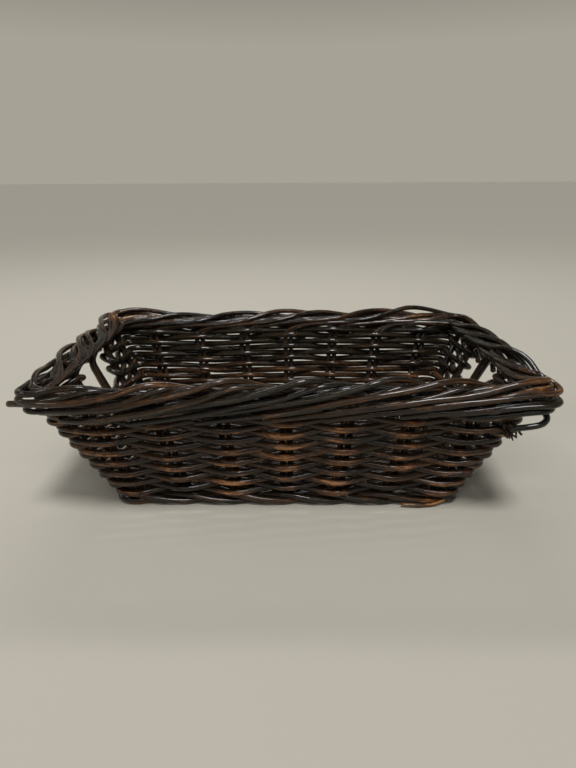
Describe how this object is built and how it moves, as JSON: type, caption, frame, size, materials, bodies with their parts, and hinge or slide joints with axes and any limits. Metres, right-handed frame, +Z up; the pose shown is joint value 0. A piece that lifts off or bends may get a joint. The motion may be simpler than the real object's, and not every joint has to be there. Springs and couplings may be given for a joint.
{
  "type": "bread basket",
  "caption": "Rectangular woven rattan bread basket with sloping walls, a rolled border and a hand-hold in each end wall.",
  "frame": {"origin": "middle of the underside, on the surface that the basket stands on", "axes": "+X along the basket's length, +Y across it towards the back wall, +Z up"},
  "size_m": [0.525, 0.3516, 0.1581],
  "materials": {
    "base_rods": "dark stained rattan rods, satin",
    "weaver_rods": "dark stained rattan rods, semi-gloss, worn to reddish brown on the bulges",
    "stake_rods": "dark stained rattan rods, semi-gloss, greyed and worn brown along the border"
  },
  "bodies": {
    "root": {"base_sticks": "base_rods", "base_weavers": "base_rods", "foot_wale_1": "weaver_rods", "foot_wale_2": "weaver_rods", "foot_wale_3": "weaver_rods", "weaver_01": "weaver_rods", "weaver_02": "weaver_rods", "weaver_03": "weaver_rods", "weaver_04": "weaver_rods", "weaver_05": "weaver_rods", "weaver_06": "weaver_rods", "weaver_07": "weaver_rods", "weaver_08": "weaver_rods", "weaver_09": "weaver_rods", "weaver_10": "weaver_rods", "weaver_11": "weaver_rods", "upper_weaver_front": "weaver_rods", "upper_weaver_back": "weaver_rods", "stakes_front_1": "stake_rods", "stakes_front_2": "stake_rods", "stakes_front_3": "stake_rods", "stakes_front_4": "stake_rods", "stakes_front_5": "stake_rods", "stakes_front_6": "stake_rods", "stakes_front_7": "stake_rods", "stakes_right_1": "stake_rods", "stakes_right_2": "stake_rods", "stakes_right_3": "stake_rods", "stakes_right_4": "stake_rods", "stakes_right_5": "stake_rods", "stakes_back_1": "stake_rods", "stakes_back_2": "stake_rods", "stakes_back_3": "stake_rods", "stakes_back_4": "stake_rods", "stakes_back_5": "stake_rods", "stakes_back_6": "stake_rods", "stakes_back_7": "stake_rods", "stakes_left_1": "stake_rods", "stakes_left_2": "stake_rods", "stakes_left_3": "stake_rods", "stakes_left_4": "stake_rods", "stakes_left_5": "stake_rods"}
  },
  "joints": []
}
